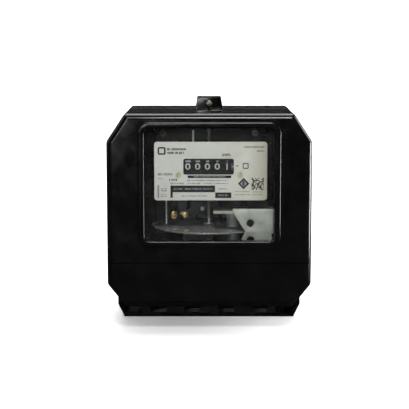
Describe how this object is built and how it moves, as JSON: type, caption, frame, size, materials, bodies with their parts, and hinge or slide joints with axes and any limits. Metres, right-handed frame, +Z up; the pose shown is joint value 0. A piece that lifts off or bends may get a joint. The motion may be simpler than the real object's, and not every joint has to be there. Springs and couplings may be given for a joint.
{
  "type": "single-phase induction electricity meter",
  "caption": "Dial electricity meter: black case with a window, white nameplate with a number-drum register, spinning disc, brake magnet and lower terminal chamber.",
  "frame": {"origin": "centre of the flat back, level with the middle of the covers' straight sides", "axes": "+Z up, +Y into the wall, so the window faces -Y; +X to the right of a reader"},
  "size_m": [0.146, 0.104, 0.1684],
  "materials": {
    "black_phenolic": "polished black moulding",
    "block_phenolic": "dark moulded phenolic",
    "window_glass": "clear window glass",
    "gasket_rubber": "matt black rubber",
    "black_screw": "blackened steel",
    "brass": "turned brass",
    "core_steel": "stacked steel laminations",
    "coil_tape": "varnished tape over winding",
    "copper_wire": "enamelled copper",
    "lead_insulation": "insulated lead",
    "frame_alloy": "satin cast alloy",
    "disc_aluminium": "bright rolled aluminium",
    "plate_enamel": "white enamelled plate",
    "mask_enamel": "black enamelled sheet with white headings",
    "drum_plastic": "black drum with white numerals",
    "pinion_nylon": "natural nylon",
    "plated_steel": "zinc plated"
  },
  "bodies": {
    "meter": {"base": "black_phenolic", "cover_gasket": "gasket_rubber", "terminal_block": "block_phenolic", "terminals": "brass", "terminal_screws": "plated_steel", "voltage_link": "brass", "voltage_link_screw": "plated_steel", "mechanism_frame": "frame_alloy", "frame_screws": "plated_steel", "voltage_core": "core_steel", "voltage_coil": "coil_tape", "current_core": "core_steel", "current_coils": "copper_wire", "current_leads": "copper_wire", "voltage_leads": "lead_insulation", "lag_clamp": "core_steel", "lag_clamp_screw": "plated_steel", "friction_adjuster": "brass", "creep_adjuster": "brass", "lead_clip": "plated_steel", "brake_magnet": "frame_alloy", "magnet_bracket": "frame_alloy", "magnet_screws": "plated_steel", "upper_bearing": "plated_steel", "lower_bearing": "brass", "nameplate": "plate_enamel", "register_mask": "mask_enamel", "nameplate_screws": "brass", "register_frame": "frame_alloy", "register_screws": "plated_steel", "drum_shaft": "plated_steel", "transfer_shaft": "plated_steel"},
    "main_cover": {"cover": "black_phenolic", "window_glass": "window_glass", "window_gasket": "gasket_rubber", "cover_screw": "brass"},
    "terminal_cover_set": {"terminal_cover": "black_phenolic", "terminal_cover_screw": "black_screw"},
    "rotor": {"disc": "disc_aluminium", "disc_hub": "disc_aluminium", "spindle": "plated_steel", "worm": "brass"},
    "first_arbor": {"worm_wheel": "brass"},
    "second_arbor": {"reduction_gear": "brass"},
    "number_drum_1": {"drum_1": "drum_plastic"},
    "number_drum_2": {"drum_2": "drum_plastic"},
    "number_drum_3": {"drum_3": "drum_plastic"},
    "number_drum_4": {"drum_4": "drum_plastic"},
    "number_drum_5": {"drum_5": "drum_plastic"},
    "transfer_1": {"transfer_pinion_1": "pinion_nylon"},
    "transfer_2": {"transfer_pinion_2": "pinion_nylon"},
    "transfer_3": {"transfer_pinion_3": "pinion_nylon"},
    "transfer_4": {"transfer_pinion_4": "pinion_nylon"}
  },
  "joints": [
    {"name": "main_cover_lift_off", "type": "slide", "parent": "meter", "child": "main_cover", "axis": [0, -1, 0], "range_m": [0, 0.12]},
    {"name": "terminal_cover_lift_off", "type": "slide", "parent": "meter", "child": "terminal_cover_set", "axis": [0, -1, 0], "range_m": [0, 0.09]},
    {"name": "disc_spin", "type": "hinge", "parent": "meter", "child": "rotor", "pos_m": [0, -0.053, -0.0134], "axis": [0, 0, 1], "continuous": true},
    {"name": "worm_wheel_spin", "type": "hinge", "parent": "meter", "child": "first_arbor", "pos_m": [0, -0.06455, 0.0245], "axis": [1, 0, 0], "continuous": true},
    {"name": "reduction_spin", "type": "hinge", "parent": "meter", "child": "second_arbor", "pos_m": [0.023, -0.07768, 0.02813], "axis": [1, 0, 0], "continuous": true},
    {"name": "drum_1_spin", "type": "hinge", "parent": "meter", "child": "number_drum_1", "pos_m": [-0.0145, -0.084, 0.0347], "axis": [1, 0, 0], "continuous": true},
    {"name": "drum_2_spin", "type": "hinge", "parent": "meter", "child": "number_drum_2", "pos_m": [-0.0075, -0.084, 0.0347], "axis": [1, 0, 0], "continuous": true},
    {"name": "drum_3_spin", "type": "hinge", "parent": "meter", "child": "number_drum_3", "pos_m": [-0.0005, -0.084, 0.0347], "axis": [1, 0, 0], "continuous": true},
    {"name": "drum_4_spin", "type": "hinge", "parent": "meter", "child": "number_drum_4", "pos_m": [0.0065, -0.084, 0.0347], "axis": [1, 0, 0], "continuous": true},
    {"name": "drum_5_spin", "type": "hinge", "parent": "meter", "child": "number_drum_5", "pos_m": [0.0135, -0.084, 0.0347], "axis": [1, 0, 0], "continuous": true},
    {"name": "transfer_1_spin", "type": "hinge", "parent": "meter", "child": "transfer_1", "pos_m": [-0.011, -0.084, 0.0237], "axis": [1, 0, 0], "continuous": true},
    {"name": "transfer_2_spin", "type": "hinge", "parent": "meter", "child": "transfer_2", "pos_m": [-0.004, -0.084, 0.0237], "axis": [1, 0, 0], "continuous": true},
    {"name": "transfer_3_spin", "type": "hinge", "parent": "meter", "child": "transfer_3", "pos_m": [0.003, -0.084, 0.0237], "axis": [1, 0, 0], "continuous": true},
    {"name": "transfer_4_spin", "type": "hinge", "parent": "meter", "child": "transfer_4", "pos_m": [0.01, -0.084, 0.0237], "axis": [1, 0, 0], "continuous": true}
  ],
  "couplings": [
    {"joint": "worm_wheel_spin", "follows": "disc_spin", "ratio": -0.02},
    {"joint": "reduction_spin", "follows": "disc_spin", "ratio": 0.0025},
    {"joint": "drum_1_spin", "follows": "disc_spin", "ratio": -0.00000005},
    {"joint": "drum_2_spin", "follows": "disc_spin", "ratio": -0.0000005},
    {"joint": "drum_3_spin", "follows": "disc_spin", "ratio": -0.000005},
    {"joint": "drum_4_spin", "follows": "disc_spin", "ratio": -0.00005},
    {"joint": "drum_5_spin", "follows": "disc_spin", "ratio": -0.0005},
    {"joint": "transfer_1_spin", "follows": "disc_spin", "ratio": 0.000000125},
    {"joint": "transfer_2_spin", "follows": "disc_spin", "ratio": 0.00000125},
    {"joint": "transfer_3_spin", "follows": "disc_spin", "ratio": 0.0000125},
    {"joint": "transfer_4_spin", "follows": "disc_spin", "ratio": 0.000125}
  ]
}
